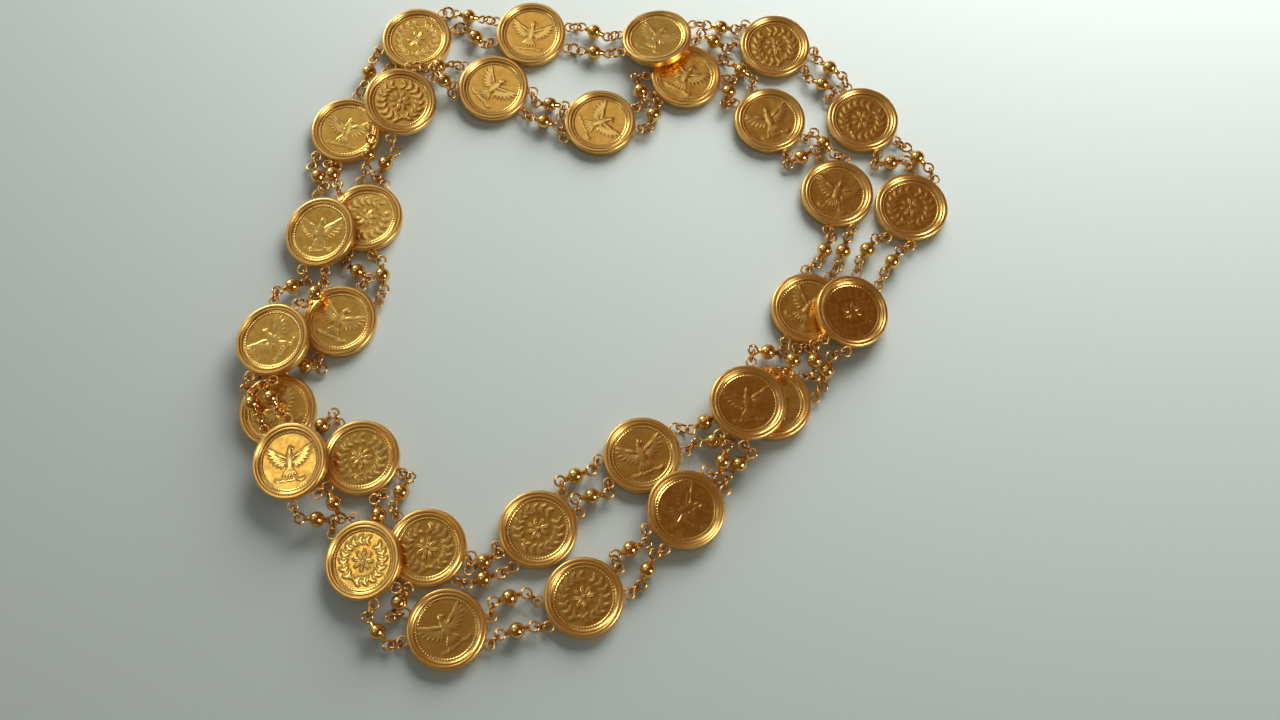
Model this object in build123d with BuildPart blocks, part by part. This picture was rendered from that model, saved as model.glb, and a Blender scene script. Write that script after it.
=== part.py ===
from build123d import *

import os
from collections import namedtuple
from math import cos, hypot, pi, radians, sin, sqrt

import numpy as np

# A long endless necklace of small coins, laid twice round on a table. Every coin sits in a bezel with two
# soldered loops on either side. From each loop a jump ring leads to a round bead with a wire eye at both
# ends, and another jump ring leads on to the next coin. All sizes are in millimetres.

# Coin, struck with a wreath on one face and a bird on the other
coin_diameter = 13.0
field_thickness = 0.7
coin_rim_width = 0.4
coin_rim_height = 0.2
relief_height = 0.16

# Wreath of leaves round a rosette
wreath_radius = 4.0
wreath_leaves = 14
wreath_gap = 40
leaf_length = 2.0
leaf_width = 0.8
leaf_lean = 50
petal_count = 6
petal_reach = 2.1
petal_waist = 0.9

# Bird with spread wings: its outline from the head down on one side, as shares of its reach and half height
wing_reach = 4.6
bird_half_height = 3.9
bird_outline = [
    (0.0, 1.0),
    (0.1, 0.86),
    (0.12, 0.62),
    (0.4, 0.72),
    (0.85, 0.9),
    (1.0, 0.45),
    (0.86, 0.05),
    (0.55, -0.2),
    (0.22, -0.3),
    (0.3, -0.9),
    (0.0, -1.0),
]

# Bezel: a round frame with a thin lip over the edge of the coin on both faces
coin_play = 0.1
bezel_wall = 1.15
lip_width = 0.2
lip_edge = 0.1
lip_thickness = 0.25
lip_slope_width = 0.2
lip_crest_width = 0.1
groove_depth = 0.12
groove_half_width = 0.2
rim_rise = 0.1
rim_round = 0.5
rim_crest_width = 0.2

# Two wire loops on either side of the bezel
loop_outer = 2.4
loop_wire = 0.42
loop_spread = 17.5

# Bead link: a round bead with a collar and a wire eye at both ends
bead_diameter = 3.2
collar_diameter = 1.1
collar_length = 0.5
eye_outer = 2.4
eye_wire = 0.42

# Jump ring
ring_outer = 2.9
ring_wire = 0.42

# The least space that is left between two pieces, and between a wire and the table
play = 0.13
table_play = 0.02

coin_radius = coin_diameter / 2
coin_half = field_thickness / 2 + coin_rim_height
seat_radius = coin_radius + coin_play
seat_half = coin_half + coin_play
lip_radius = coin_radius - lip_width
lip_top = seat_half + lip_thickness
bezel_radius = seat_radius + bezel_wall
bezel_half = lip_top + rim_rise
loop_radius = (loop_outer - loop_wire) / 2
loop_reach = bezel_radius + loop_radius
bead_radius = bead_diameter / 2
eye_radius = (eye_outer - eye_wire) / 2
eye_reach = bead_radius + collar_length + eye_outer / 2
ring_radius = (ring_outer - ring_wire) / 2
groove_radius = lip_radius + lip_slope_width + lip_crest_width + groove_half_width
collar_end = bead_radius + collar_length + eye_wire / 4
# The middles of a loop and of the eye that hangs from it are at most this far apart
ring_reach = loop_radius + eye_radius + 2 * ring_radius - (loop_wire + eye_wire) / 2 - ring_wire - 2 * play

Coin = namedtuple("Coin", "number x y course faces lean lift top face bead_left bead_right")

# The route of the necklace, in the order in which it runs. Places are on the table, seen from above: x to
# the right, y away, bearings anticlockwise from x.
# course: the way that the necklace runs through the coin
# faces, lean: the coin leans this much, towards that bearing
# lift: how far its neighbours hold the coin above the place where it would touch what lies beneath it
# top, face: the bearing of the top of the picture, and the face that shows
# bead_left, bead_right: where the two beads lie between this coin and the next
route = [
    Coin(1, -50.2, 151.4, 35, 0, 0, 0, 80, "wreath", (-36.1, 155.7), (-36.7, 152.0)),
    Coin(3, -24.5, 152.5, -5, -90, 3, 0, 80, "bird", (-10.4, 152.9), (-9.8, 147.6)),
    Coin(6, 3.8, 150.8, 5, 123, 12, 0, 60, "bird", (19.0, 154.3), (17.3, 151.0)),
    Coin(8, 30.3, 149.6, -25, 0, 0, 0, 120, "wreath", (42.3, 143.7), (40.6, 139.7)),
    Coin(10, 48.9, 131.0, -53, 0, 0, 0, 45, "wreath", (60.8, 122.4), (57.0, 121.4)),
    Coin(12, 58.1, 109.9, -112, 0, 0, 0, 75, "wreath", (52.8, 99.0), (48.3, 100.1)),
    Coin(14, 43.7, 85.4, -118, -6, 11, 0, 150, "wreath", (40.0, 75.6), (36.9, 73.5)),
    Coin(15, 27.0, 66.4, -155, 0, 0, 0, 20, "bird", (14.8, 58.1), (13.1, 62.0)),
    Coin(17, 0.4, 55.5, -157, 0, 0, 0, 110, "bird", (-9.5, 47.0), (-12.7, 50.5)),
    Coin(19, -20.0, 40.6, -140, 0, 0, 0, 40, "wreath", (-30.1, 30.1), (-30.8, 34.1)),
    Coin(22, -41.6, 36.9, 152, 0, 0, 0, 100, "wreath", (-52.7, 44.1), (-48.4, 46.3)),
    Coin(24, -55.8, 54.9, 142, 0, 0, 0, 75, "wreath", (-66.4, 61.0), (-63.9, 62.6)),
    Coin(26, -73.3, 64.6, 107, 0, 0, 0, 130, "bird", (-71.5, 72.8), (-68.1, 75.8)),
    Coin(28, -62.4, 84.0, 46, 0, 0, 0, 65, "bird", (-60.7, 94.6), (-55.6, 94.0)),
    Coin(30, -58.5, 107.5, 85, 0, 0, 0, 30, "wreath", (-60.4, 122.6), (-54.7, 119.5)),
    Coin(2, -52.3, 133.9, 62, -30, 9, 0.8, 100, "wreath", (-41.3, 145.0), (-43.2, 142.0)),
    Coin(4, -32.4, 138.6, -22, -90, 4, 0, 40, "bird", (-20.0, 134.4), (-20.6, 130.4)),
    Coin(5, -8.8, 130.4, 8, 0, 0, 0, 20, "bird", (-0.2, 137.6), (3.1, 133.2)),
    Coin(7, 10.2, 141.9, 15, 0, 0, 0, 60, "bird", (23.5, 142.8), (20.8, 138.9)),
    Coin(9, 28.5, 130.9, -48, 0, 0, 0, 110, "bird", (40.1, 124.8), (35.8, 121.9)),
    Coin(11, 42.4, 113.2, -88, 0, 0, 0, 70, "bird", (44.0, 98.6), (40.3, 100.5)),
    Coin(13, 35.0, 86.8, -107, 0, 0, 0, 50, "bird", (32.6, 75.8), (26.1, 77.1)),
    Coin(16, 21.6, 65.6, -114, 0, 5, 0, 95, "bird", (19.3, 54.4), (17.5, 51.3)),
    Coin(18, 9.0, 44.3, -136, -51, 8, 0, 25, "bird", (1.9, 33.4), (-1.8, 36.6)),
    Coin(20, -10.8, 27.4, -158, 0, 0, 0, 80, "wreath", (-23.9, 22.8), (-24.8, 27.8)),
    Coin(21, -37.0, 21.4, 178, 0, 0, 0, 125, "bird", (-50.1, 21.2), (-46.2, 26.3)),
    Coin(23, -53.4, 34.2, 125, 190, 11, 0.5, 60, "wreath", (-63.2, 42.1), (-60.1, 45.1)),
    Coin(25, -68.9, 53.4, 115, 205, 10, 0.6, 95, "bird", (-78.3, 66.3), (-74.0, 66.7)),
    Coin(27, -74.7, 78.8, 78, 170, 8, 1.0, 140, "bird", (-72.5, 91.2), (-67.0, 88.8)),
    Coin(29, -67.4, 103.3, 82, 198, 11, 0, 85, "bird", (-68.5, 115.0), (-66.0, 117.0)),
    Coin(31, -64.2, 128.4, 62, 0, 0, 0, 75, "bird", (-61.3, 142.5), (-56.0, 139.3)),
]
# The coins that lie on others, from the bottom up
upper_coins = [14, 16, 18, 6, 2, 23, 25, 27, 29]
# The route was chosen for a necklace that, pulled tight, has a coin every so many millimetres
route_pitch = 30.8
taut_pitch = 2 * (loop_reach + ring_reach + eye_reach)
spread = taut_pitch / route_pitch


upright = np.array([0, 0, 1.0])
# A direction along none of the pieces, from which directions across them are made
slant = np.array([0.36, 0.48, 0.8])


def unit(vector):
    return vector / np.linalg.norm(vector)


def level(bearing):
    """The level direction with this bearing."""
    return np.array([cos(radians(bearing)), sin(radians(bearing)), 0.0])


def turned(vector, axis, angle):
    """The vector turned about a unit axis by an angle in radians."""
    kept = (1 - cos(angle)) * axis.dot(vector) * axis
    return cos(angle) * vector + sin(angle) * np.cross(axis, vector) + kept


def in_plane(vector, normal):
    """The part of the vector that lies in the plane with this normal, as a unit vector."""
    return unit(vector - normal * normal.dot(vector))


def round_points(centre, normal, radius, count=32):
    """Points round a circle."""
    one = in_plane(slant, normal)
    two = np.cross(normal, one)
    turn = np.linspace(0, 2 * pi, count, endpoint=False)[:, None]
    return centre + radius * (np.cos(turn) * one + np.sin(turn) * two)


def lozenge(length, width, rotation):
    """A leaf in the sketch that is being drawn."""
    Polygon((-length / 2, 0), (0, -width / 2), (length / 2, 0), (0, width / 2), rotation=rotation)


def star_points(count, reach, waist):
    """The outline of a rosette of pointed petals."""
    tips = [Vector(reach, 0).rotate(Axis.Z, 360 * petal / count) for petal in range(count)]
    notches = [Vector(waist, 0).rotate(Axis.Z, 360 * (petal + 0.5) / count) for petal in range(count)]
    return [(point.X, point.Y) for pair in zip(tips, notches) for point in pair]


def rise_and_run(points, centres, normals):
    """How far each point is above and away from the axis of each round piece."""
    offset = points[:, None, :] - centres
    rise = (offset * normals).sum(-1)
    return rise, np.linalg.norm(offset - rise[..., None] * normals, axis=-1)


def from_wires(points, centres, normals, radii, halves):
    """Distance of each point from the surface of each round wire."""
    rise, run = rise_and_run(points, centres, normals)
    return np.hypot(run - radii, rise) - halves


def from_plates(points, centres, normals, radii, halves):
    """Distance of each point from the surface of each round plate."""
    rise, run = rise_and_run(points, centres, normals)
    beyond = run - radii
    above = np.abs(rise) - halves
    outside = np.hypot(np.maximum(beyond, 0), np.maximum(above, 0))
    return outside + np.minimum(np.maximum(beyond, above), 0)


def from_balls(points, centres, radii):
    """Distance of each point from the surface of each ball."""
    return np.linalg.norm(points[:, None, :] - centres, axis=-1) - radii


class Pile:
    """The pieces that lie on the table so far, as round wires, round plates and balls."""

    def __init__(self, wires=(), plates=(), balls=()):
        self.kinds = [(from_wires, list(wires)), (from_plates, list(plates)), (from_balls, list(balls))]
        self.columns = None

    def put(self, wires=(), plates=(), balls=()):
        for (_, rows), more in zip(self.kinds, (wires, plates, balls)):
            rows.extend(more)
        self.columns = None

    def near(self, place, reach):
        """The pieces with their middle within reach of a place."""
        def pick(rows):
            return [row for row in rows if np.linalg.norm(row[0] - place) < reach]
        return Pile(*[pick(rows) for _, rows in self.kinds])

    def room(self, points):
        """The least distance of each point from every piece."""
        if self.columns is None:
            self.columns = [(distance, [np.array(column) for column in zip(*rows)])
                            for distance, rows in self.kinds if rows]
        least = np.full(len(points), np.inf)
        for distance, columns in self.columns:
            least = np.minimum(least, distance(points, *columns).min(axis=1))
        return least


Loop = namedtuple("Loop", "middle normal outward")
Ring = namedtuple("Ring", "space middle axis")
Link = namedtuple("Link", "space middle direction normal rings wires balls")


class Seat:
    """Where a bezel lies, with its four loops."""

    def __init__(self, coin, height):
        self.coin = coin
        self.middle = np.array([coin.x * spread, coin.y * spread, height])
        self.normal = turned(upright, np.cross(upright, level(coin.faces)), radians(coin.lean))
        self.along = in_plane(level(coin.course), self.normal)
        self.loops = {}
        for end, ahead in (("next", 1), ("last", -1)):
            for side, hand in (("left", 1), ("right", -1)):
                outward = turned(ahead * self.along, self.normal, ahead * hand * radians(loop_spread))
                self.loops[end, side] = Loop(self.middle + loop_reach * outward, self.normal, outward)

    def plate(self):
        return self.middle, self.normal, bezel_radius, bezel_half

    def wires(self):
        return [(loop.middle, loop.normal, loop_radius, loop_wire / 2) for loop in self.loops.values()]

    def coin_plane(self):
        """Where the coin lies, with the face up that shows and the top of its picture at its bearing."""
        up = self.normal if self.coin.face == "wreath" else -self.normal
        return Plane(self.middle, np.cross(level(self.coin.top), up), up)

    def skin(self):
        """Points on the two faces of the bezel."""
        faces = [self.middle + side * bezel_half * self.normal for side in (-1, 1)]
        return np.vstack([round_points(face, self.normal, share * bezel_radius, 72)
                          for face in faces for share in (0.3, 0.6, 0.85, 1)])

    def room_among(self, seats):
        """The least space between this bezel and others, loops included."""
        pile = Pile([wire for seat in seats for wire in seat.wires()], [seat.plate() for seat in seats])
        own = Pile(self.wires(), [self.plate()])
        space = min(pile.room(self.skin()).min(), min(own.room(seat.skin()).min() for seat in seats))
        for middle, normal, radius, half in self.wires():
            space = min(space, pile.room(round_points(middle, normal, radius)).min() - half)
        for seat in seats:
            for middle, normal, radius, half in seat.wires():
                space = min(space, own.room(round_points(middle, normal, radius)).min() - half)
        return space


def layer(coin):
    """The place of an upper coin in the pile."""
    return upper_coins.index(coin.number)


def lay_coins():
    """Lays each coin as low as those laid before allow, and then lifts it as the route says."""
    height_step = 0.05
    seats = {}
    lower = [coin for coin in route if coin.number not in upper_coins]
    for coin in lower + sorted((coin for coin in route if coin not in lower), key=layer):
        lean = radians(coin.lean)
        seat = Seat(coin, bezel_half * cos(lean) + bezel_radius * sin(lean))
        neighbours = [other for other in seats.values()
                      if np.linalg.norm((other.middle - seat.middle)[:2]) < 2 * (loop_reach + loop_outer)]
        while neighbours and seat.room_among(neighbours) < play:
            seat = Seat(coin, seat.middle[2] + height_step)
        seats[coin.number] = Seat(coin, seat.middle[2] + coin.lift)
    return seats


def half_sphere(count):
    """Directions spread evenly over half a sphere."""
    index = np.arange(count) + 0.5
    height = index / count
    turn = index * pi * (3 - sqrt(5))
    flat = np.sqrt(1 - height ** 2)
    return np.stack([flat * np.cos(turn), flat * np.sin(turn), height], 1)


# The ways in which a jump ring is tried: its axis, its middle as shares of its radius, the points round it
ring_axes = half_sphere(70)
ring_shifts = np.array([(x, y, z) for x in (-0.36, -0.12, 0.12, 0.36) for y in (-0.36, -0.12, 0.12, 0.36)
                        for z in (-0.32, -0.08, 0.16, 0.4)])
ring_turn = np.linspace(0, 2 * pi, 24, endpoint=False)[None, :, None]
rings_tried = 40


def through(points, middle, normal, radius):
    """Whether each ring, given by points round it, passes once through a round hole."""
    offset = points - middle
    rise = offset @ normal
    following = np.roll(rise, -1, axis=1)
    crossing = rise * following < 0
    share = rise / np.where(crossing, rise - following, 1)
    place = offset + share[..., None] * (np.roll(offset, -1, axis=1) - offset)
    run = np.linalg.norm(place - (place @ normal)[..., None] * normal, axis=-1)
    return ((run < radius) & crossing).sum(axis=1) == 1


def ring_poses(loop, eye, eye_normal):
    """Middles and axes of the jump rings that are tried between a loop and an eye."""
    out_of_loop = in_plane(eye - loop.middle, loop.normal)
    out_of_eye = in_plane(loop.middle - eye, eye_normal)
    wire_in_loop = loop.middle + loop_radius * out_of_loop
    wire_in_eye = eye + eye_radius * out_of_eye
    middle = (wire_in_loop + wire_in_eye) / 2
    middles = np.repeat(middle + ring_radius * ring_shifts, len(ring_axes), axis=0)
    axes = np.tile(ring_axes, (len(ring_shifts), 1))
    # A ring that is nearly taut hangs upright from one wire to the other, so those are tried too
    along = unit(wire_in_eye - wire_in_loop + 1e-6 * upright)
    loop_tangent = np.cross(loop.normal, out_of_loop)
    eye_tangent = np.cross(eye_normal, out_of_eye)
    tangent = in_plane(loop_tangent + eye_tangent * np.sign(loop_tangent.dot(eye_tangent)), along)
    rolled = np.array([turned(tangent, along, radians(roll)) for roll in range(-75, 90, 15)])
    shares = (0, -0.24, -0.12, 0.12, 0.24)
    shifts = [ring_radius * share * np.cross(axis, along) for axis in rolled for share in shares]
    axes = np.vstack([axes, np.repeat(rolled, len(shares), axis=0)])
    return np.vstack([middles, middle + np.array(shifts)]), axes


def hang_ring(loop, eye, eye_normal, piles):
    """The roomiest jump ring through a loop and an eye, with the space that it has."""
    middles, axes = ring_poses(loop, eye, eye_normal)
    lowest = middles[:, 2] - ring_radius * np.sqrt(1 - axes[:, 2] ** 2)
    clear = lowest >= ring_wire / 2 + table_play
    middles = middles[clear]
    axes = axes[clear]
    one = np.cross(axes, slant)
    one /= np.linalg.norm(one, axis=1)[:, None]
    two = np.cross(axes, one)
    outward = np.cos(ring_turn) * one[:, None] + np.sin(ring_turn) * two[:, None]
    points = middles[:, None] + ring_radius * outward
    linked = Pile([(loop.middle, loop.normal, loop_radius, loop_wire / 2),
                   (eye, eye_normal, eye_radius, eye_wire / 2)])
    room = linked.room(points.reshape(-1, 3)).reshape(len(points), -1).min(axis=1) - ring_wire / 2
    hung = (room >= play) & through(points, loop.middle, loop.normal, loop_radius)
    hung[hung] = through(points[hung], eye, eye_normal, eye_radius)
    best = None
    for index in np.flatnonzero(hung)[np.argsort(-room[hung], kind="stable")][:rings_tried]:
        if best and best.space >= room[index]:
            break
        space = min(room[index], min(pile.room(points[index]).min() for pile in piles) - ring_wire / 2)
        if best is None or space > best.space:
            best = Ring(space, middles[index], axes[index])
    return best


def eye_pairs(start, end, step, rises, runs):
    """Pairs of eyes as far apart as a bead link's, each within a jump ring's reach of its loop."""
    turn = np.radians(np.arange(0, 360, step))
    away = ring_reach * np.array([(rise, run) for rise in rises for run in runs if hypot(rise, run) < 1])
    first = np.vstack([np.stack([run * np.cos(turn), run * np.sin(turn), np.full(len(turn), rise)], 1)
                       for rise, run in away])[:, None, :] + start.middle
    strain = np.repeat(np.abs(away[:, 1] - easy_share * ring_reach), len(turn))[:, None]
    height = end.middle[2] + away[:, 0]
    toward = end.middle[:2] - first[..., :2]
    distance = np.linalg.norm(toward, axis=-1)
    flat = np.maximum((2 * eye_reach) ** 2 - (height - first[..., 2]) ** 2, 1e-6)
    along = (flat - away[:, 1] ** 2 + distance ** 2) / (2 * distance)
    aside = np.sqrt(np.maximum(flat - along ** 2, 0))
    pairs = []
    for hand in (1, -1):
        x = first[..., 0] + (along * toward[..., 0] - hand * aside * toward[..., 1]) / distance
        y = first[..., 1] + (along * toward[..., 1] + hand * aside * toward[..., 0]) / distance
        second = np.stack([x, y, np.broadcast_to(height, x.shape)], -1)
        pair = np.concatenate([np.broadcast_to(first, second.shape), second], -1)
        pulls = strain + np.abs(away[:, 1] - easy_share * ring_reach)
        pairs.append(np.concatenate([pair, pulls[..., None]], -1)[flat >= along ** 2])
    return np.vstack(pairs)


# How finely the places of a bead link are tried: step of the bearings, heights and distances from the loop
# as shares of a jump ring's reach, and how many places are tried
searches = [
    (15, (-0.15, 0.03, 0.21, 0.39), (0.52, 0.67, 0.82, 0.95), 40),
    (6, (-0.24, -0.15, -0.06, 0.03, 0.12, 0.21, 0.3, 0.39),
     (0.51, 0.6, 0.69, 0.78, 0.87, 0.93, 0.96, 0.99), 150),
]
# Places that are nearer to each other than this count as one
places_apart = 0.5
# A jump ring hangs at ease at this share of its reach, and a strained one counts as so much farther away
easy_share = 0.75
strain_weight = 0.5
# The bead links are rolled about their length by these angles in turn
link_rolls = (-12, 0, 12, -6, 6)


def lay_link(pile, start, end, wished, roll):
    """The bead link and its two jump rings between two loops, with the bead near its place."""
    best = None
    near = pile.near((start.middle + end.middle) / 2, 2 * (eye_reach + ring_reach) + bezel_radius)
    for step, rises, runs, tries in searches:
        pairs = eye_pairs(start, end, step, rises, runs)
        beads = (pairs[:, :3] + pairs[:, 3:6]) / 2
        fits = (beads[:, 2] >= bead_radius) & ((pairs[:, :3] - start.middle) @ start.outward > -eye_radius)
        fits &= (pairs[:, 3:6] - end.middle) @ end.outward > -eye_radius
        pairs = pairs[fits]
        beads = beads[fits]
        astray = np.linalg.norm(beads[:, :2] - np.array(wished) * spread, axis=1)
        cost = astray + beads[:, 2] + strain_weight * pairs[:, 6]
        fits = near.room(beads) >= bead_radius + play
        pairs = pairs[fits][np.argsort(cost[fits], kind="stable")]
        tried = []
        for pair in pairs:
            if len(tried) == tries:
                break
            if any(np.abs(pair[:6] - other).max() < places_apart for other in tried):
                continue
            direction = unit(pair[3:6] - pair[:3])
            normal = turned(in_plane(upright, direction), direction, radians(roll))
            eyes = [(eye, normal, eye_radius, eye_wire / 2) for eye in (pair[:3], pair[3:6])]
            skins = [round_points(*eye[:3]) for eye in eyes]
            space = min(near.room(skin).min() for skin in skins) - eye_wire / 2
            if space < play or min(skin[:, 2].min() for skin in skins) < eye_wire / 2 + table_play:
                continue
            tried.append(pair[:6])
            middle = (pair[:3] + pair[3:6]) / 2
            collars = [(middle + side * (bead_radius + collar_length / 2) * direction, collar_diameter / 2)
                       for side in (-1, 1)]
            balls = [(middle, bead_radius), *collars]
            wires = list(eyes)
            rings = []
            for loop, eye in ((start, pair[:3]), (end, pair[3:6])):
                ring = hang_ring(loop, eye, normal, [near, Pile(wires, (), balls)])
                if ring is None:
                    break
                rings.append(ring)
                wires.append((ring.middle, ring.axis, ring_radius, ring_wire / 2))
                space = min(space, ring.space)
                if space < play and best:
                    break
            if len(rings) == 2 and (best is None or space > best.space):
                best = Link(space, middle, direction, normal, rings, wires, balls)
            if best and best.space >= play:
                return best
    return best


def lay_links(seats):
    """Lays the two bead links between each coin and the next."""
    pile = Pile()
    for seat in seats.values():
        pile.put(seat.wires(), [seat.plate()])
    links = []
    for index, coin in enumerate(route):
        following = route[(index + 1) % len(route)]
        roll = link_rolls[index % len(link_rolls)]
        for side, wished in (("left", coin.bead_left), ("right", coin.bead_right)):
            start = seats[coin.number].loops["next", side]
            end = seats[following.number].loops["last", side]
            link = lay_link(pile, start, end, wished, roll)
            pile.put(link.wires, (), link.balls)
            links.append(link)
    return links


with BuildPart() as coin_blank:
    with BuildSketch():
        Circle(coin_radius)
    extrude(amount=field_thickness / 2, both=True)
    for side in (1, -1):
        with BuildSketch(Plane.XY.offset(side * field_thickness / 2)):
            Circle(coin_radius)
            Circle(coin_radius - coin_rim_width, mode=Mode.SUBTRACT)
        extrude(amount=side * coin_rim_height)
    with BuildSketch(Plane.XY.offset(field_thickness / 2)):
        for step in range(wreath_leaves):
            bearing = 90 + wreath_gap / 2 + (360 - wreath_gap) * step / (wreath_leaves - 1)
            hand = 1 if step < wreath_leaves / 2 else -1
            with Locations(Location(wreath_radius * Vector(1, 0).rotate(Axis.Z, bearing), (0, 0, bearing))):
                lozenge(leaf_length, leaf_width, hand * leaf_lean)
        Polygon(*star_points(petal_count, petal_reach, petal_waist))
    extrude(amount=relief_height)
    with BuildSketch(Plane.XY.offset(-field_thickness / 2)):
        with BuildLine():
            half_bird = [(x * wing_reach, y * bird_half_height) for x, y in bird_outline]
            Polyline(*half_bird)
            Polyline(*[(-x, y) for x, y in half_bird])
        make_face()
    extrude(amount=-relief_height)

with BuildPart() as bezel_blank:
    with BuildSketch(Plane.XZ):
        with BuildLine():
            Polyline(
                (seat_radius, 0),
                (seat_radius, seat_half),
                (lip_radius, seat_half),
                (lip_radius, seat_half + lip_edge),
                (lip_radius + lip_slope_width, lip_top),
                (lip_radius + lip_slope_width + lip_crest_width, lip_top),
                (groove_radius, lip_top - groove_depth),
                (bezel_radius - rim_round - rim_crest_width, bezel_half),
                (bezel_radius - rim_round, bezel_half),
            )
            TangentArc(
                (bezel_radius - rim_round, bezel_half),
                (bezel_radius, bezel_half - rim_round),
                tangent=(1, 0),
            )
            Line((bezel_radius, bezel_half - rim_round), (bezel_radius, 0))
            mirror(about=Plane.XZ)
        make_face()
    revolve(axis=Axis.Z)
    for bearing in (loop_spread, -loop_spread, 180 - loop_spread, 180 + loop_spread):
        with Locations(loop_reach * Vector(1, 0).rotate(Axis.Z, bearing)):
            Torus(loop_radius, loop_wire / 2)

with BuildPart() as link_blank:
    with BuildSketch():
        with BuildLine():
            meet = sqrt(bead_radius**2 - (collar_diameter / 2) ** 2)
            Polyline((meet, collar_diameter / 2), (collar_end, collar_diameter / 2), (collar_end, 0))
            Line((collar_end, 0), (-collar_end, 0))
            Polyline((-collar_end, 0), (-collar_end, collar_diameter / 2), (-meet, collar_diameter / 2))
            ThreePointArc((-meet, collar_diameter / 2), (0, bead_radius), (meet, collar_diameter / 2))
        make_face()
    revolve(axis=Axis.X)
    with Locations((eye_reach, 0), (-eye_reach, 0)):
        Torus(eye_radius, eye_wire / 2)

with BuildPart() as ring_blank:
    Torus(ring_radius, ring_wire / 2)

seats = lay_coins()
links = lay_links(seats)
rings = [ring for link in links for ring in link.rings]

pieces = {}
for seat in seats.values():
    with BuildPart() as bezel:
        with Locations(Plane(seat.middle, seat.along, seat.normal)):
            add(bezel_blank.part, clean=False)
    pieces[f"bezel_{seat.coin.number:02d}"] = bezel.part

with BuildPart() as coins:
    with Locations(*[seat.coin_plane() for seat in seats.values()]):
        add(coin_blank.part, clean=False)
pieces["coins"] = coins.part

with BuildPart() as bead_links:
    with Locations(*[Plane(link.middle, link.direction, link.normal) for link in links]):
        add(link_blank.part, clean=False)
pieces["bead_links"] = bead_links.part

with BuildPart() as jump_rings:
    with Locations(*[Plane(ring.middle, z_dir=ring.axis) for ring in rings]):
        add(ring_blank.part, clean=False)
pieces["jump_rings"] = jump_rings.part

# The origin is on the table, at the middle of the necklace's box
box = Compound([piece for name, piece in pieces.items() if name != "coins"]).bounding_box()
to_origin = Location((-box.center().X, -box.center().Y, -box.min.Z))

os.makedirs("parts", exist_ok=True)
for name, piece in pieces.items():
    placed = piece.moved(to_origin)
    placed.label = name
    export_step(placed, f"parts/{name}.step")

print(f"{len(seats)} coins, {len(links)} bead links, {len(rings)} jump rings")
print(f"least space round the links and rings: {min(link.space for link in links):.3f}")
print("size of the box:", box.size)
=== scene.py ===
# %% [markdown]
# # A long coin necklace
# The necklace is an endless chain of small gold coins, laid twice round on white paper. Each coin sits in a
# soldered bezel, and pairs of bead links on jump rings lead from one coin to the next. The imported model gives
# every piece its place and size. This script gives the coins their struck pictures, makes the small round
# pieces smooth, and adds the metal, the paper, the light and the camera.

from math import cos, pi, radians, sin

import bpy
import numpy as np
from mathutils import Matrix, Vector


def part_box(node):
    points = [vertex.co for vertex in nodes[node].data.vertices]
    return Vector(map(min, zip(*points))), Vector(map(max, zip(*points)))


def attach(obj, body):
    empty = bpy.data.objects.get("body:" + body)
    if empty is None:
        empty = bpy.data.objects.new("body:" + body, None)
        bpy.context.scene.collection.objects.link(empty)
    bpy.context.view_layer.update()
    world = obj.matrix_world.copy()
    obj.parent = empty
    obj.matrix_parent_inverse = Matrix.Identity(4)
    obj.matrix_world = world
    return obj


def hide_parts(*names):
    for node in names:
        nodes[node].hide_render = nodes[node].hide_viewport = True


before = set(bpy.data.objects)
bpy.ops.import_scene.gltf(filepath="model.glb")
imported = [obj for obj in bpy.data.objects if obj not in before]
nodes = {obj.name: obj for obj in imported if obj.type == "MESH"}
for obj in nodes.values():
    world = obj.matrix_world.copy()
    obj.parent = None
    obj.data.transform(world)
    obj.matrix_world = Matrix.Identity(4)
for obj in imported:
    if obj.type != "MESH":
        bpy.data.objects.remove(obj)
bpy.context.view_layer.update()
mm = 0.001

# %% [markdown]
# ## Camera
# The picture was taken from above the near edge of the table, looking a little towards the far side. A camera
# is set by how wide it sees, where it is and where it looks. The focal length and the width of the sensor
# give the first. The height and the tilt were matched so that the coins fall where the photograph has them,
# and so that coins of one size shrink with distance as they do there.

# %% Camera
photo_width = 1280
focal_length_in_pixels = 1190
sensor_width = 36 * mm
camera_height = 233.7 * mm
camera_tilt = radians(18)
camera_foot = Vector((8.3, -86.96, 0)) * mm

camera = bpy.data.objects.new("camera", bpy.data.cameras.new("camera"))
bpy.context.scene.collection.objects.link(camera)
camera.data.sensor_width = sensor_width / mm
camera.data.lens = camera.data.sensor_width * focal_length_in_pixels / photo_width
camera.data.clip_start = 1 * mm
camera.location = camera_foot + Vector((0, 0, camera_height))
camera.rotation_euler = (camera_tilt, 0, 0)
bpy.context.scene.camera = camera
print("lens:", round(camera.data.lens, 2), "mm")

# %% [markdown]
# ## Three small helpers
# Colours are easiest to name as the hex values that a screen shows. Blender computes with linear light, so
# one function turns a hex value into linear numbers. Another adds one node to a material, with its settings
# and links, so that each material below reads as a short recipe. The third gives an empty material.

# %% Colour and node helpers
def colour(hex_value):
    """Linear red, green, blue and alpha of an sRGB hex value."""
    shown = [int(hex_value[i:i + 2], 16) / 255 for i in (1, 3, 5)]
    linear = [c / 12.92 if c <= 0.04045 else ((c + 0.055) / 1.055) ** 2.4 for c in shown]
    return (*linear, 1.0)


def node(tree, kind, inputs=None, **settings):
    """Adds a node. An input is a value, or the output socket of another node."""
    added = tree.nodes.new(kind)
    for name, value in settings.items():
        setattr(added, name, value)
    for name, value in (inputs or {}).items():
        if isinstance(value, bpy.types.NodeSocket):
            tree.links.new(value, added.inputs[name])
        else:
            added.inputs[name].default_value = value
    return added


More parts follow.
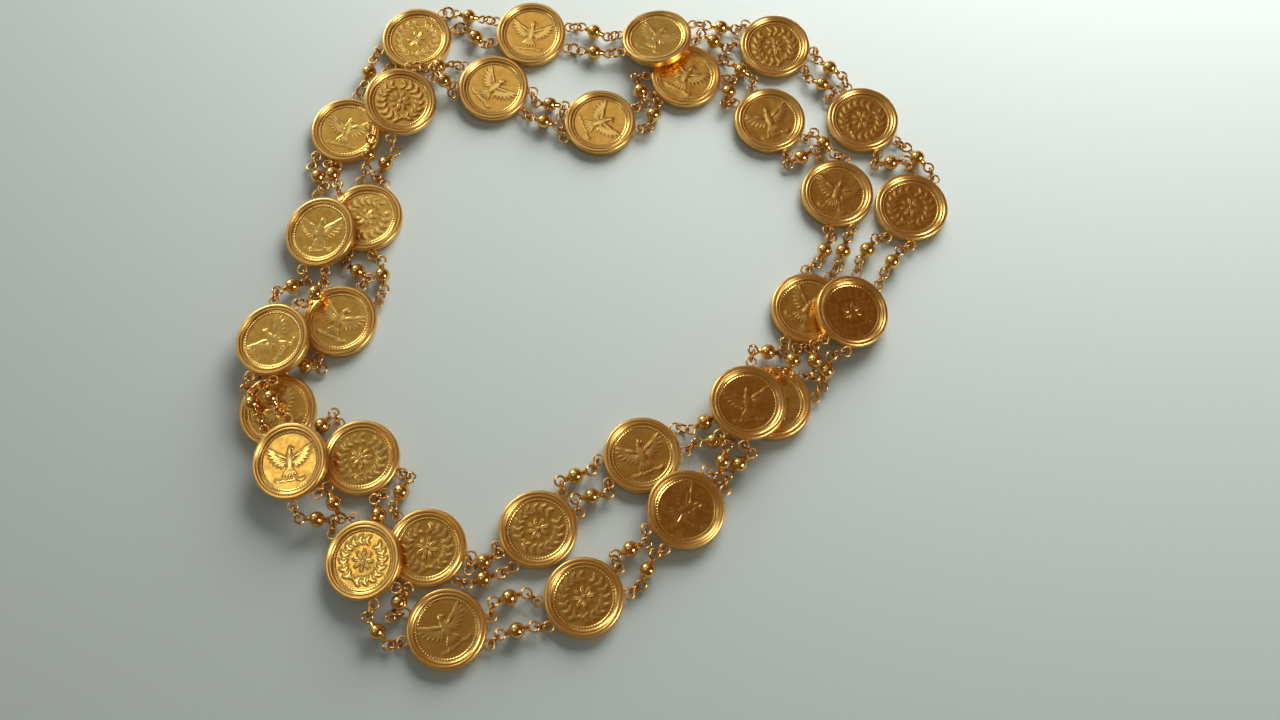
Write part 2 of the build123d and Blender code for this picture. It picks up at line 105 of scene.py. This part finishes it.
def new_material(name):
    """An empty material, with the tree and the shader to build it on."""
    material = bpy.data.materials.new(name)
    material.use_nodes = True
    tree = material.node_tree
    return material, tree, tree.nodes["Principled BSDF"]


print("gold in linear light:", [round(value, 3) for value in colour("#F2C672")])

# %% [markdown]
# ## Polished gold of the bezels
# The bezels are turned and soldered from yellow gold and then polished. Years of wear have softened the
# polish, so they show the room as broad soft bands and not as sharp pictures. A noise with a grain of one and
# a half millimetres makes the polish uneven, and a finer and very shallow bump stands for scuffs. Metal
# colours its reflections, so the gold goes in the base colour with metallic at 1, and the IOR stays as it is.

# %% Polished gold
polished_gold, tree, shader = new_material("polished yellow gold, worn")
place = node(tree, "ShaderNodeTexCoord").outputs["Object"]
uneven = node(tree, "ShaderNodeTexNoise", {"Vector": place, "Scale": 1 / (1.5 * mm), "Detail": 2.0})
polish = node(tree, "ShaderNodeMapRange", {"Value": uneven.outputs["Fac"], "To Min": 0.25, "To Max": 0.38})
scuffs = node(tree, "ShaderNodeTexNoise", {"Vector": place, "Scale": 1 / (0.4 * mm), "Detail": 1.0})
raised = node(tree, "ShaderNodeBump", {"Height": scuffs.outputs["Fac"], "Strength": 0.05,
                                       "Distance": 0.02 * mm})
shader.inputs["Base Color"].default_value = colour("#F2C672")
shader.inputs["Metallic"].default_value = 1.0
tree.links.new(polish.outputs["Result"], shader.inputs["Roughness"])
tree.links.new(raised.outputs["Normal"], shader.inputs["Normal"])
print("made", polished_gold.name)

# %% [markdown]
# ## Struck gold of the coins
# A coin is struck from a softer, richer gold. Its flat field keeps a dull bloom, while hands polish the high
# parts of the picture, so high parts look sharper. The colour runs from a darker, browner gold on the low field
# to a paler gold on the high parts. The coin's mesh carries its height above the field as an attribute, and
# the material mixes both looks by it. A thin coin is never quite flat, so a wide, low wave in the normals lets
# each field catch the light unevenly.

# %% Struck gold
struck_gold, tree, shader = new_material("struck gold, worn high and dull low")
place = node(tree, "ShaderNodeTexCoord").outputs["Object"]
height = node(tree, "ShaderNodeAttribute", attribute_name="height_share").outputs["Fac"]
bloom = node(tree, "ShaderNodeTexNoise", {"Vector": place, "Scale": 1 / (1.4 * mm), "Detail": 4.0})
dull = node(tree, "ShaderNodeMapRange", {"Value": bloom.outputs["Fac"], "From Min": 0.3, "From Max": 0.7,
                                         "To Min": 0.22, "To Max": 0.34})
rough = node(tree, "ShaderNodeMapRange", {"Value": height, "From Min": 0.0, "From Max": 0.8,
                                          "To Min": dull.outputs["Result"], "To Max": 0.2})
# Colour by height: a darker, browner gold on the low field, a paler gold on the high parts.
tint = node(tree, "ShaderNodeValToRGB", {"Fac": height})
tint.color_ramp.elements[0].color = colour("#DDA84A")
tint.color_ramp.elements[0].position = 0.0
tint.color_ramp.elements[1].color = colour("#F4C86E")
tint.color_ramp.elements[1].position = 0.6
wave = node(tree, "ShaderNodeTexNoise", {"Vector": place, "Scale": 1 / (4 * mm), "Detail": 1.0})
grain = node(tree, "ShaderNodeTexNoise", {"Vector": place, "Scale": 1 / (0.15 * mm), "Detail": 2.0})
waved = node(tree, "ShaderNodeBump", {"Height": wave.outputs["Fac"], "Strength": 0.5, "Distance": 0.25 * mm})
raised = node(tree, "ShaderNodeBump", {"Height": grain.outputs["Fac"], "Normal": waved.outputs["Normal"],
                                       "Strength": 0.15, "Distance": 0.02 * mm})
shader.inputs["Metallic"].default_value = 1.0
tree.links.new(tint.outputs["Color"], shader.inputs["Base Color"])
tree.links.new(rough.outputs["Result"], shader.inputs["Roughness"])
tree.links.new(raised.outputs["Normal"], shader.inputs["Normal"])
print("made", struck_gold.name)

# %% [markdown]
# ## Bright gold of the beads and drawn gold of the rings
# The beads are balls polished bright in a tumbler, which gives them small sharp glints. The jump rings and
# eyes are drawn wire, which has darkened to a browner gold. Both are one colour with an
# uneven polish, so one function makes them.

# %% Bead and wire gold
def plain_gold(name, hex_value, smoothest, roughest):
    """Gold with one colour and an uneven polish."""
    material, tree, shader = new_material(name)
    place = node(tree, "ShaderNodeTexCoord").outputs["Object"]
    uneven = node(tree, "ShaderNodeTexNoise", {"Vector": place, "Scale": 1 / (0.5 * mm), "Detail": 2.0})
    polish = node(tree, "ShaderNodeMapRange", {"Value": uneven.outputs["Fac"], "From Min": 0.3,
                                               "From Max": 0.7, "To Min": smoothest, "To Max": roughest})
    shader.inputs["Base Color"].default_value = colour(hex_value)
    shader.inputs["Metallic"].default_value = 1.0
    tree.links.new(polish.outputs["Result"], shader.inputs["Roughness"])
    return material


bead_gold = plain_gold("tumbled gold of the beads", "#EBC070", 0.12, 0.22)
wire_gold = plain_gold("drawn gold wire, darkened", "#C4924E", 0.16, 0.28)
print("made", bead_gold.name, "and", wire_gold.name)

# %% [markdown]
# ## Which picture is up
# Every coin has a wreath on one side and a bird on the other. The chain turns the coins over as it likes, so
# a table says for each coin which picture is up. Beside it stands the way its top points, as
# a bearing anticlockwise from the right.

# %% Pictures that show
coin_pictures = {
    1: ("wreath", 80), 2: ("wreath", 100), 3: ("bird", 80), 4: ("bird", 40), 5: ("bird", 20),
    6: ("bird", 60), 7: ("bird", 60), 8: ("wreath", 120), 9: ("bird", 110), 10: ("wreath", 45),
    11: ("bird", 70), 12: ("wreath", 75), 13: ("bird", 50), 14: ("wreath", 150), 15: ("bird", 20),
    16: ("bird", 95), 17: ("bird", 110), 18: ("bird", 25), 19: ("wreath", 40), 20: ("wreath", 80),
    21: ("bird", 125), 22: ("wreath", 100), 23: ("wreath", 60), 24: ("wreath", 75), 25: ("bird", 95),
    26: ("bird", 130), 27: ("bird", 140), 28: ("bird", 65), 29: ("bird", 85), 30: ("wreath", 30),
    31: ("bird", 75),
}
print("wreaths up:", sum(picture == "wreath" for picture, bearing in coin_pictures.values()))

# %% [markdown]
# ## Where each coin lies
# Nothing needs to be measured twice: the bezels already lie in their places, and a coin lies in the middle of
# its bezel. A bezel is flat and round, so the direction in which its points spread least is the coin's axis.
# The axis, the middle and the bearing of the top make the matrix that takes a coin to its bezel.

# %% Places of the coins
def points_of(mesh):
    """The vertices of a mesh as an array."""
    flat = np.empty(len(mesh.vertices) * 3)
    mesh.vertices.foreach_get("co", flat)
    return flat.reshape(-1, 3)


def main_axes(points):
    """Three directions, from the one in which the points spread most to the one of least spread."""
    return np.linalg.svd(points - points.mean(0), full_matrices=False)[2]


def coin_place(number):
    """The matrix that takes a coin to its bezel, with the picture that shows on top."""
    low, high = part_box(f"bezel_{number:02d}")
    axis = Vector(main_axes(points_of(nodes[f"bezel_{number:02d}"].data))[2])
    if axis.z < 0:
        axis = -axis
    picture, bearing = coin_pictures[number]
    up = axis if picture == "wreath" else -axis
    right = Vector((cos(radians(bearing)), sin(radians(bearing)), 0)).cross(up).normalized()
    matrix = Matrix((right, up.cross(right), up)).transposed().to_4x4()
    matrix.translation = (low + high) / 2
    return matrix


print("coin 1 lies at", [round(c / mm, 1) for c in coin_place(1).translation], "mm")

# %% [markdown]
# ## Low domes and leaves
# A relief is a picture in heights. The simplest shape of an engraver is a low dome over an ellipse, and a
# groove along its middle makes it a leaf or a feather. Where two domes meet, the higher one wins, as it does
# under a graver. The sizes are in millimetres on the coin. The relief is low, as on a coin worn in a pocket.

# %% Domes and leaves
relief_height = 0.11


def dome(u, v, x, y, bearing, length, width, height):
    """Height of a low dome over an ellipse round x, y, at points u, v."""
    turn = radians(bearing)
    along = (u - x) * cos(turn) + (v - y) * sin(turn)
    aside = (v - y) * cos(turn) - (u - x) * sin(turn)
    inside = 1 - (2 * along / length) ** 2 - (2 * aside / width) ** 2
    return height * np.sqrt(np.clip(inside, 0, 1))


def leaf(u, v, x, y, bearing, length, width, height):
    """A dome with a groove along its middle."""
    turn = radians(bearing)
    aside = (v - y) * cos(turn) - (u - x) * sin(turn)
    groove = 1 - 0.45 * np.exp(-(aside / (0.13 * width)) ** 2)
    return dome(u, v, x, y, bearing, length, width, height) * groove


print("middle of a leaf:", round(float(leaf(0, 0, 0, 0, 0, 1, 1, relief_height)), 3), "mm high")

# %% [markdown]
# ## The wreath
# One side has two branches of leaves, tied with a bow at the foot and open at the top, round a rosette of
# eight petals. Leaves stand in pairs along a round stem and lean forward, which is how a real branch grows.
# It is a plain design made up for this necklace.

# %% Height of the wreath
def wreath_height(u, v):
    """Two branches of leaves round a rosette, tied with a bow."""
    stem_radius = 4.0
    stem_width = 0.14
    half_gap = 16
    leaf_pairs = 8
    first_pair = 18
    last_pair = 162
    petals = 8
    petal_reach = 1.35
    bud = 1.1
    from_top = (np.degrees(np.arctan2(v, u)) + 90) % 360 - 180
    stem = np.exp(-((np.hypot(u, v) - stem_radius) / stem_width) ** 2) * (np.abs(from_top) > half_gap)
    high = 0.5 * relief_height * stem
    for hand in (1, -1):
        for step in np.linspace(first_pair, last_pair, leaf_pairs):
            bearing = -90 + hand * step
            for out in (1, -1):
                x = (stem_radius + 0.5 * out) * cos(radians(bearing))
                y = (stem_radius + 0.5 * out) * sin(radians(bearing))
                lean = bearing + hand * (90 - out * 34)
                high = np.maximum(high, leaf(u, v, x, y, lean, 1.75, 0.72, relief_height))
    for lean, x in ((25, 0.55), (155, -0.55), (-50, 0.4), (-130, -0.4)):
        high = np.maximum(high, dome(u, v, x, 0.1 - stem_radius, lean, 1.3, 0.45, relief_height))
    for petal in range(petals):
        bearing = 360 / petals * (petal + 0.5)
        x = petal_reach * cos(radians(bearing))
        y = petal_reach * sin(radians(bearing))
        high = np.maximum(high, leaf(u, v, x, y, bearing, 1.9, 0.85, relief_height))
    return np.maximum(high, dome(u, v, 0, 0, 0, bud, bud, 1.15 * relief_height))


print("middle of the rosette:", round(float(wreath_height(np.zeros(1), np.zeros(1))[0]), 3), "mm high")

# %% [markdown]
# ## The bird
# The other side has a bird seen from the front, with its head turned and its wings spread over a branch. The
# long feathers of a wing are leaves that start along the arm and turn from level to hanging, each a little
# shorter than the last. The tail is a fan of five more.

# %% Height of the bird
def bird_height(u, v):
    """A bird seen from the front with spread wings, over a branch."""
    breast = dome(u, v, 0, 0.2, 90, 3.8, 1.8, relief_height)
    head = dome(u, v, 0.12, 2.35, 80, 1.7, 1.0, 1.05 * relief_height)
    beak = dome(u, v, 0.75, 2.5, -15, 0.9, 0.35, 0.9 * relief_height)
    branch = dome(u, v, 0, -3.75, 4, 5.6, 0.34, 0.7 * relief_height)
    high = np.maximum.reduce([breast, head, beak, branch])
    wing_feathers = 7
    for hand in (1, -1):
        high = np.maximum(high, dome(u, v, hand * 1.9, 1.35, 90 - hand * 62, 3.0, 0.95, relief_height))
        for share in np.linspace(0, 1, wing_feathers):
            bearing = 90 - hand * (58 + 92 * share)
            length = 3.5 - 1.5 * share
            x = hand * (2.2 - 1.35 * share) + 0.5 * length * cos(radians(bearing))
            y = 1.5 - 1.2 * share + 0.5 * length * sin(radians(bearing))
            high = np.maximum(high, leaf(u, v, x, y, bearing, length, 0.72, 0.85 * relief_height))
    for bearing in (-126, -108, -90, -72, -54):
        x = 1.5 * cos(radians(bearing))
        y = -1.2 + 1.1 * sin(radians(bearing))
        high = np.maximum(high, leaf(u, v, x, y, bearing, 2.2, 0.62, 0.8 * relief_height))
    for x, lean in ((-2.6, 150), (-1.7, 35), (1.8, 150), (2.7, 30)):
        high = np.maximum(high, leaf(u, v, x, -3.7, lean, 1.5, 0.6, 0.7 * relief_height))
    return high


print("bird's breast:", round(float(bird_height(np.zeros(1), np.full(1, 0.2))[0]), 3), "mm high")

# %% [markdown]
# ## The blank of a coin
# The blank is a thin disc with a raised rim, and a border of fine teeth stands just inside it. The field
# between them is slightly dished, because the press pushes the middle down most. The height of a face is the
# highest of picture, border and rim at each point.

# %% Height of a coin's face
coin_radius = 6.5
field_half = 0.35
dish_depth = 0.03
rim_width = 0.4
rim_height = 0.2
rim_slope = 0.12
border_radius = 5.85
border_width = 0.42
border_height = 0.16
groove_height = 0.03
border_teeth = 64


def toothed_border(run, turn):
    """A ring of small teeth inside the rim."""
    inside = np.abs(run - border_radius) < border_width / 2
    tooth = 0.5 + 0.5 * np.cos(turn * border_teeth)
    return inside * (groove_height + (border_height - groove_height) * tooth)


def face_height(picture, u, v):
    """Height of a coin's face above its field."""
    run = np.hypot(u, v)
    rim_foot = coin_radius - rim_width
    rim = rim_height * np.clip((run - rim_foot) / rim_slope + 0.5, 0, 1)
    dish = dish_depth * (run / coin_radius) ** 2 * (run < rim_foot)
    relief = picture(u, v) * (run < border_radius - border_width / 2)
    border = toothed_border(run, np.arctan2(v, u))
    return dish + np.maximum.reduce([relief, rim, border])


print("a coin is", 2 * (field_half + rim_height), "mm thick at its rim")

# %% [markdown]
# ## One coin as a mesh
# Rings of points round the middle follow the rim and the border exactly, which a square grid would not. Both
# faces use the same points, the lower one turned over, and the edge joins them, so the coin is one closed
# mesh. Three points to a tooth are the fewest that show the border. The heights stay on the mesh as an
# attribute, for the material.

# %% Make the coin
points_round = 3 * border_teeth
picture_rings = np.linspace(0.25, 5.5, 22)
border_rings = [border_radius + step for step in (-0.23, -0.17, 0, 0.17, 0.23)]
rim_rings = [6.16, 6.35, coin_radius]


def coin_mesh():
    """The coin as one closed mesh in metres, with its heights as an attribute."""
    turn = np.linspace(0, 2 * pi, points_round, endpoint=False)
    radii = np.array([*picture_rings, *border_rings, *rim_rings])
    u = np.append((radii[:, None] * np.cos(turn)).ravel(), 0)
    v = np.append((radii[:, None] * np.sin(turn)).ravel(), 0)
    top = face_height(wreath_height, u, v)
    under = face_height(bird_height, -u, v)
    points = np.vstack([np.stack([u, v, field_half + top], 1), np.stack([u, v, -field_half - under], 1)])
    centre = len(radii) * points_round
    quads = []
    for row in range(len(radii) - 1):
        for step in range(points_round):
            one = row * points_round + step
            two = row * points_round + (step + 1) % points_round
            quads.append((one, one + points_round, two + points_round, two))
    fan = [(centre, step, (step + 1) % points_round) for step in range(points_round)]
    shift = centre + 1
    faces = quads + fan
    faces += [tuple(corner + shift for corner in reversed(face)) for face in quads + fan]
    last = centre - points_round
    for step in range(points_round):
        one = last + step
        two = last + (step + 1) % points_round
        faces.append((one, one + shift, two + shift, two))
    mesh = bpy.data.meshes.new("coin")
    mesh.from_pydata((points * mm).tolist(), [], faces)
    share = mesh.attributes.new("height_share", "FLOAT", "POINT")
    share.data.foreach_set("value", np.append(top, under) / relief_height)
    mesh.shade_smooth()
    mesh.materials.append(struck_gold)
    return mesh


coin_master = coin_mesh()
print("one coin:", len(coin_master.polygons), "faces")

# %% [markdown]
# ## The coins in their bezels
# The coins are all alike, so they share one mesh and differ only in where they lie and which face is up. That
# keeps the file small. They stand for the plainer coins of the model, which are hidden.

# %% Lay the coins
def put_on_necklace(piece, stands_for):
    """Links a piece, joins it to the necklace and hides the plain solid it stands for."""
    bpy.context.scene.collection.objects.link(piece)
    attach(piece, "root")
    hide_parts(stands_for)


for number in sorted(coin_pictures):
    coin = bpy.data.objects.new(f"coin_{number:02d}", coin_master)
    coin.matrix_world = coin_place(number)
    put_on_necklace(coin, "coins")
print("laid", len(coin_pictures), "coins")

# %% [markdown]
# ## Loose pieces of a chain
# All jump rings share one mesh in the model, and so do all bead links. To replace each by a smoother one, the
# mesh is first cut into its loose pieces: corners that share an edge belong together. Every corner takes the
# lowest label among its neighbours, over and over, until nothing changes.

# %% Find the loose pieces
def loose_pieces(mesh):
    """The points of each loose piece of a mesh."""
    points = points_of(mesh)
    keys, piece = np.unique(np.round(points / (0.001 * mm)).astype(int), axis=0, return_inverse=True)
    piece = piece.ravel()
    edges = np.empty(len(mesh.edges) * 2, int)
    mesh.edges.foreach_get("vertices", edges)
    edges = piece[edges].reshape(-1, 2)
    label = np.arange(len(keys))
    while True:
        lowest = np.minimum(label[edges[:, 0]], label[edges[:, 1]])
        before = label.copy()
        np.minimum.at(label, edges[:, 0], lowest)
        np.minimum.at(label, edges[:, 1], lowest)
        label = label[label]
        if (label == before).all():
            break
    welded = np.zeros((len(keys), 3))
    welded[piece] = points
    return [welded[label == one] for one in np.unique(label)]


ring_points = loose_pieces(nodes["jump_rings"].data)
link_points = loose_pieces(nodes["bead_links"].data)
print(len(ring_points), "jump rings and", len(link_points), "bead links")

# %% [markdown]
# ## Where each ring and link lies
# The main axes of a loose piece say how it is turned. A bead link is longest along its own length, and its
# flat eyes make it thinnest across them. A ring is round, so only its flat side matters. The middle of the
# piece is the middle of its box in those directions.

# %% Places of the rings and links
def place_of(points):
    """The matrix of a loose piece, with x along its length and z across its flat side."""
    length, _, flat = main_axes(points)
    axes = np.array([length, np.cross(flat, length), flat])
    spread = points @ axes.T
    middle = (spread.min(0) + spread.max(0)) / 2 @ axes
    matrix = Matrix(axes.tolist()).transposed().to_4x4()
    matrix.translation = Vector(middle)
    return matrix


ring_places = [place_of(points) for points in ring_points]
link_places = [place_of(points) for points in link_points]
print("first link lies at", [round(c / mm, 1) for c in link_places[0].translation], "mm")

# %% [markdown]
# ## Turned shapes
# A jump ring is a torus of drawn wire. A bead link is a ball between two short collars, with an eye of the
# same wire at each end. All of them come from one idea: a profile turned round an axis. That is quick, and it
# gives even, smooth rings of faces. The wire is drawn a little thicker than in the model, as the photograph
# shows it, but no two pieces touch.

# %% Ring and bead shapes
wire = 0.5 * mm
ring_radius = 1.24 * mm
eye_radius = 0.99 * mm
bead_radius = 1.6 * mm
collar_radius = 0.55 * mm
collar_end = 2.2 * mm
eye_reach = 3.3 * mm


def turned_surface(profile, steps, closed):
    """Points and faces of a profile of (along, out) pairs, turned about x."""
    turn = np.linspace(0, 2 * pi, steps, endpoint=False)
    profile = np.array(profile)
    along = np.repeat(profile[:, 0], steps)
    out = np.repeat(profile[:, 1], steps)
    angle = np.tile(turn, len(profile))
    points = np.stack([along, out * np.cos(angle), out * np.sin(angle)], 1)
    faces = []
    for row in range(len(profile) if closed else len(profile) - 1):
        below = row * steps
        above = (row + 1) % len(profile) * steps
        for i in range(steps):
            faces.append((below + i, above + i, above + (i + 1) % steps, below + (i + 1) % steps))
    return points, faces


def torus(radius, around, across):
    """A wire ring in the plane of x and y."""
    turn = np.linspace(0, 2 * pi, across, endpoint=False)
    profile = [(wire / 2 * sin(t), radius + wire / 2 * cos(t)) for t in turn]
    points, faces = turned_surface(profile, around, True)
    return points[:, [1, 2, 0]], faces


def bead_profile():
    """Half the outline of a bead with its collars, from one end to the other."""
    start = np.arcsin(collar_radius / bead_radius)
    ball = [(-bead_radius * cos(t), bead_radius * sin(t)) for t in np.linspace(start, pi - start, 17)]
    collar = [(collar_end, collar_radius), (collar_end, 0.01 * mm)]
    return [(-along, out) for along, out in reversed(collar)] + ball + collar


print("a jump ring is", round(2 * ring_radius / mm + wire / mm, 2), "mm across")

# %% [markdown]
# ## All the rings and links
# There are 124 rings and 62 links, all alike. Their copies are joined into one mesh for each kind, as they
# are in the model, because one object is handled faster than a hundred.

# %% Copy the rings and links
def joined(name, shapes, places, material):
    """One mesh of copies of some shapes at each place."""
    all_points = []
    all_faces = []
    count = 0
    for matrix in places:
        turn = np.array(matrix.to_3x3())
        for points, faces in shapes:
            all_points.append(points @ turn.T + np.array(matrix.translation))
            all_faces += [tuple(corner + count for corner in face) for face in faces]
            count += len(points)
    mesh = bpy.data.meshes.new(name)
    mesh.from_pydata(np.vstack(all_points).tolist(), [], all_faces)
    mesh.shade_smooth()
    mesh.materials.append(material)
    return bpy.data.objects.new(name, mesh)


ring_piece = joined("smooth_rings", [torus(ring_radius, 28, 10)], ring_places, wire_gold)
put_on_necklace(ring_piece, "jump_rings")

eye_points, eye_faces = torus(eye_radius, 24, 8)
link_shapes = [turned_surface(bead_profile(), 24, False)]
link_shapes += [(eye_points + np.array([side * eye_reach, 0, 0]), eye_faces) for side in (-1, 1)]
link_piece = joined("smooth_bead_links", link_shapes, link_places, bead_gold)
put_on_necklace(link_piece, "bead_links")
print("ring faces:", len(ring_piece.data.polygons), "link faces:", len(link_piece.data.polygons))

# %% [markdown]
# ## The bezels
# The bezels have their true shape in the model: the round outer edge, the groove and the thin lip over the
# coin, and the soldered loops. The model's mesh is fine and carries its own normals, so its rounds are smooth
# and its corners crisp, and the bezels only need their metal.

# %% Dress the bezels
for number in sorted(coin_pictures):
    bezel = nodes[f"bezel_{number:02d}"]
    bezel.data.materials.clear()
    bezel.data.materials.append(polished_gold)
    for polygon in bezel.data.polygons:
        polygon.material_index = 0
print("dressed", len(coin_pictures), "bezels")

# %% [markdown]
# ## Paper
# The necklace lies on a large sheet of white paper. Paper is matt, and its fibres make it very slightly
# uneven, which a low bump with a grain of a millimetre and a half shows. The sheet reaches far past the
# picture, so that no edge shows in the gold.

# %% Paper
paper, tree, shader = new_material("white paper, matt")
place = node(tree, "ShaderNodeTexCoord").outputs["Object"]
fibres = node(tree, "ShaderNodeTexNoise", {"Vector": place, "Scale": 1 / (1.5 * mm), "Detail": 4.0})
raised = node(tree, "ShaderNodeBump", {"Height": fibres.outputs["Fac"], "Strength": 0.06,
                                       "Distance": 0.1 * mm})
shader.inputs["Base Color"].default_value = colour("#D6DDD7")
shader.inputs["Roughness"].default_value = 0.75
shader.inputs["Specular IOR Level"].default_value = 0.3
tree.links.new(raised.outputs["Normal"], shader.inputs["Normal"])

sheet_size = 3.0
corners = [(x * sheet_size / 2, y * sheet_size / 2, 0) for x, y in ((-1, -1), (1, -1), (1, 1), (-1, 1))]
sheet = bpy.data.objects.new("paper_sheet", bpy.data.meshes.new("paper_sheet"))
sheet.data.from_pydata(corners, [], [(0, 1, 2, 3)])
sheet.data.materials.append(paper)
bpy.context.scene.collection.objects.link(sheet)
print("sheet:", sheet_size, "m wide")

# %% [markdown]
# ## Lamps
# One soft lamp lights the paper. It stands low beyond the far right corner, so the paper is brightest there,
# and every piece throws a soft shadow to the near left. Metal shows a lamp not as light but as a mirror
# image, so four more lamps are seen in the gold alone: they make the glints on beads and rims, and brighten
# the coins that lean towards them. Each kind is hidden from the rays that the other kind is for.

# %% Lamps
def soft_lamp(name, place, size, power, on_metal):
    """A square lamp that faces the necklace, and either lights the paper or glints in the metal."""
    lamp = bpy.data.objects.new(name, bpy.data.lights.new(name, "AREA"))
    lamp.data.size = size
    lamp.data.energy = power
    lamp.location = place
    lamp.rotation_euler = (-Vector(place)).to_track_quat("-Z", "Y").to_euler()
    lamp.visible_glossy = on_metal
    lamp.visible_diffuse = not on_metal
    bpy.context.scene.collection.objects.link(lamp)


soft_lamp("window_on_paper", (0.14, 0.32, 0.14), 0.3, 2.9, False)
soft_lamp("window_in_metal", (-0.55, 0.65, 0.35), 0.4, 3.2, True)
soft_lamp("right_window_in_metal", (0.5, -0.3, 0.42), 0.22, 2.2, True)
soft_lamp("left_window_in_metal", (-0.54, 0.0, 0.74), 0.14, 0.24, True)
soft_lamp("ceiling_in_metal", (-0.09, 0.43, 0.78), 0.28, 0.18, True)

# %% [markdown]
# ## Room
# Between the lamps the gold mirrors the room, and without something to mirror, metal looks black. The room is
# palest towards the far left, and darker and warmer to the right, where coins turn orange brown. Each of
# these is a ramp of colours along a direction, and the two are multiplied. Only mirrored rays see this room.
# All others see one even grey, which lights the shadows on the paper a little. The plain view transform keeps
# bright gold yellow instead of fading it to white.

# %% Room
room = bpy.data.worlds.new("room")
bpy.context.scene.world = room
room.use_nodes = True
tree = room.node_tree
direction = node(tree, "ShaderNodeTexCoord").outputs["Generated"]


def shade_toward(x, y, z, start, end, dark, pale):
    """Colours that run from dark to pale as the view turns towards a direction."""
    toward = node(tree, "ShaderNodeVectorMath", {0: direction, 1: Vector((x, y, z)).normalized()},
                  operation="DOT_PRODUCT")
    share = node(tree, "ShaderNodeMapRange", {"Value": toward.outputs["Value"], "From Min": start,
                                              "From Max": end})
    ramp = node(tree, "ShaderNodeValToRGB", {"Fac": share.outputs["Result"]})
    ramp.color_ramp.elements[0].color = colour(dark)
    ramp.color_ramp.elements[1].color = colour(pale)
    return ramp.outputs["Color"]


far_wall = shade_toward(-0.45, 0.85, 0.35, 0.2, 0.95, "#6E5C42", "#A0A0A0")
warm_wall = shade_toward(-1, 0, 0, -0.25, 0.15, "#E8B090", "#FFFFFF")
walls = node(tree, "ShaderNodeMix", {"Factor": 1.0, "A": far_wall, "B": warm_wall}, data_type="RGBA",
             blend_type="MULTIPLY")
in_metal = node(tree, "ShaderNodeLightPath").outputs["Is Glossy Ray"]
around_all = node(tree, "ShaderNodeMix", {"Factor": in_metal, "A": colour("#6A6C6A"),
                                          "B": walls.outputs["Result"]}, data_type="RGBA")
tree.links.new(around_all.outputs["Result"], tree.nodes["Background"].inputs["Color"])
bpy.context.scene.view_settings.view_transform = "Standard"
print("room:", len(tree.nodes), "nodes")
